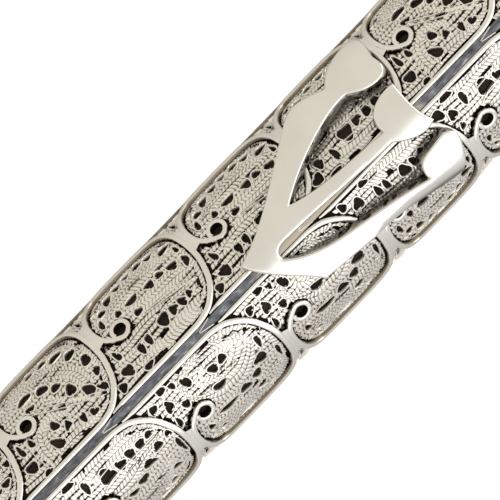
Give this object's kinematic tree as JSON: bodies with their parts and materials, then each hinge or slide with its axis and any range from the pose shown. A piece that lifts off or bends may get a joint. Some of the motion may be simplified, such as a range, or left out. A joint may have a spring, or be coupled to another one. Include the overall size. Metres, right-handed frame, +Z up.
{
  "type": "mezuzah case",
  "caption": "Round silver filigree mezuzah case with scrolled frame wires, a raised letter, domed ends, a back strip with nail holes and a pull-off bottom cap.",
  "frame": {"origin": "middle of the back strip's rear face, on the door post", "axes": "+Z up the case, -Y out of its decorated front, +X to the right of someone facing it"},
  "size_m": [0.0208, 0.023, 0.164],
  "materials": {
    "polished_silver": "polished",
    "satin_silver": "satin",
    "oxidised_filigree": "oxidised in the hollows",
    "blackened_liner": "blackened",
    "parchment": "matt"
  },
  "bodies": {
    "case": {"liner_tube": "blackened_liner", "front_rib": "polished_silver", "rear_rib": "satin_silver", "left_border_wire": "polished_silver", "right_border_wire": "polished_silver", "raised_letter": "polished_silver", "back_strip": "satin_silver", "filling_front_left": "oxidised_filigree", "filling_front_right": "oxidised_filigree", "filling_back_left": "oxidised_filigree", "filling_back_right": "oxidised_filigree", "frame_wire_front_left_1": "polished_silver", "frame_wire_front_left_2": "polished_silver", "frame_wire_front_left_3": "polished_silver", "frame_wire_front_left_4": "polished_silver", "frame_wire_front_left_5": "polished_silver", "frame_wire_front_left_6": "polished_silver", "frame_wire_front_left_7": "polished_silver", "frame_wire_front_left_8": "polished_silver", "frame_wire_front_right_1": "polished_silver", "frame_wire_front_right_2": "polished_silver", "frame_wire_front_right_3": "polished_silver", "frame_wire_front_right_4": "polished_silver", "frame_wire_front_right_5": "polished_silver", "frame_wire_front_right_6": "polished_silver", "frame_wire_front_right_7": "polished_silver", "frame_wire_front_right_8": "polished_silver", "frame_wire_back_left_1": "polished_silver", "frame_wire_back_left_2": "polished_silver", "frame_wire_back_left_3": "polished_silver", "frame_wire_back_left_4": "polished_silver", "frame_wire_back_left_5": "polished_silver", "frame_wire_back_left_6": "polished_silver", "frame_wire_back_left_7": "polished_silver", "frame_wire_back_left_8": "polished_silver", "frame_wire_back_right_1": "polished_silver", "frame_wire_back_right_2": "polished_silver", "frame_wire_back_right_3": "polished_silver", "frame_wire_back_right_4": "polished_silver", "frame_wire_back_right_5": "polished_silver", "frame_wire_back_right_6": "polished_silver", "frame_wire_back_right_7": "polished_silver", "frame_wire_back_right_8": "polished_silver", "top_inner_ring": "satin_silver", "top_outer_ring": "satin_silver", "top_collar": "satin_silver", "top_cap_dome": "satin_silver", "top_cap_rope": "satin_silver", "top_finial": "satin_silver", "bottom_inner_ring": "satin_silver", "bottom_outer_ring": "satin_silver", "bottom_collar": "satin_silver"},
    "bottom_cap": {"bottom_cap_dome": "satin_silver", "bottom_cap_rope": "satin_silver", "bottom_finial": "satin_silver", "bottom_cap_sleeve": "satin_silver"},
    "scroll": {"scroll": "parchment"}
  },
  "joints": [
    {"name": "cap_pull", "type": "slide", "parent": "case", "child": "bottom_cap", "axis": [0, 0, -1], "range_m": [0, 0.125]},
    {"name": "scroll_slide", "type": "slide", "parent": "bottom_cap", "child": "scroll", "axis": [0, 0, 1], "range_m": [0, 0.018]}
  ]
}
